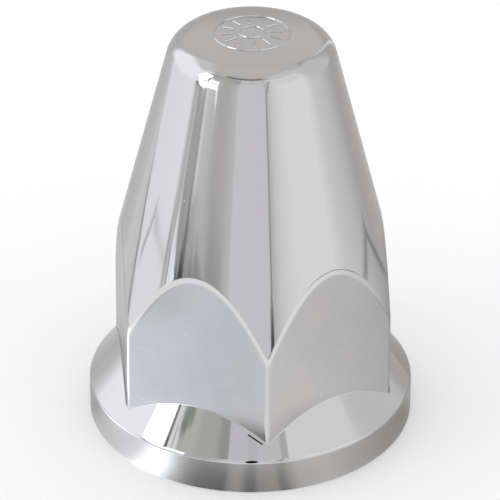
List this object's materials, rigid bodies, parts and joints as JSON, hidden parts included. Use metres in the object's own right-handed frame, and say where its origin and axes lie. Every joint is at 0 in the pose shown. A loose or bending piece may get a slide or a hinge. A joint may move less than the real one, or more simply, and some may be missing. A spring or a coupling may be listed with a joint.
{
  "type": "wheel nut cover cap",
  "caption": "Push-on cover cap for a hexagonal lorry wheel nut: flanged hexagonal base, arched flats and a tall round cone nose, hollow, with grip ribs inside.",
  "frame": {"origin": "centre of the rim's bottom face, which stands on the wheel", "axes": "+Z along the cap's axis, up through the nose; two corners of the hexagon lie on the Y axis"},
  "size_m": [0.054, 0.054, 0.0697],
  "materials": {
    "bright_plating": "bright plated, polished"
  },
  "bodies": {
    "root": {"nut_cover": "bright_plating"}
  },
  "joints": []
}
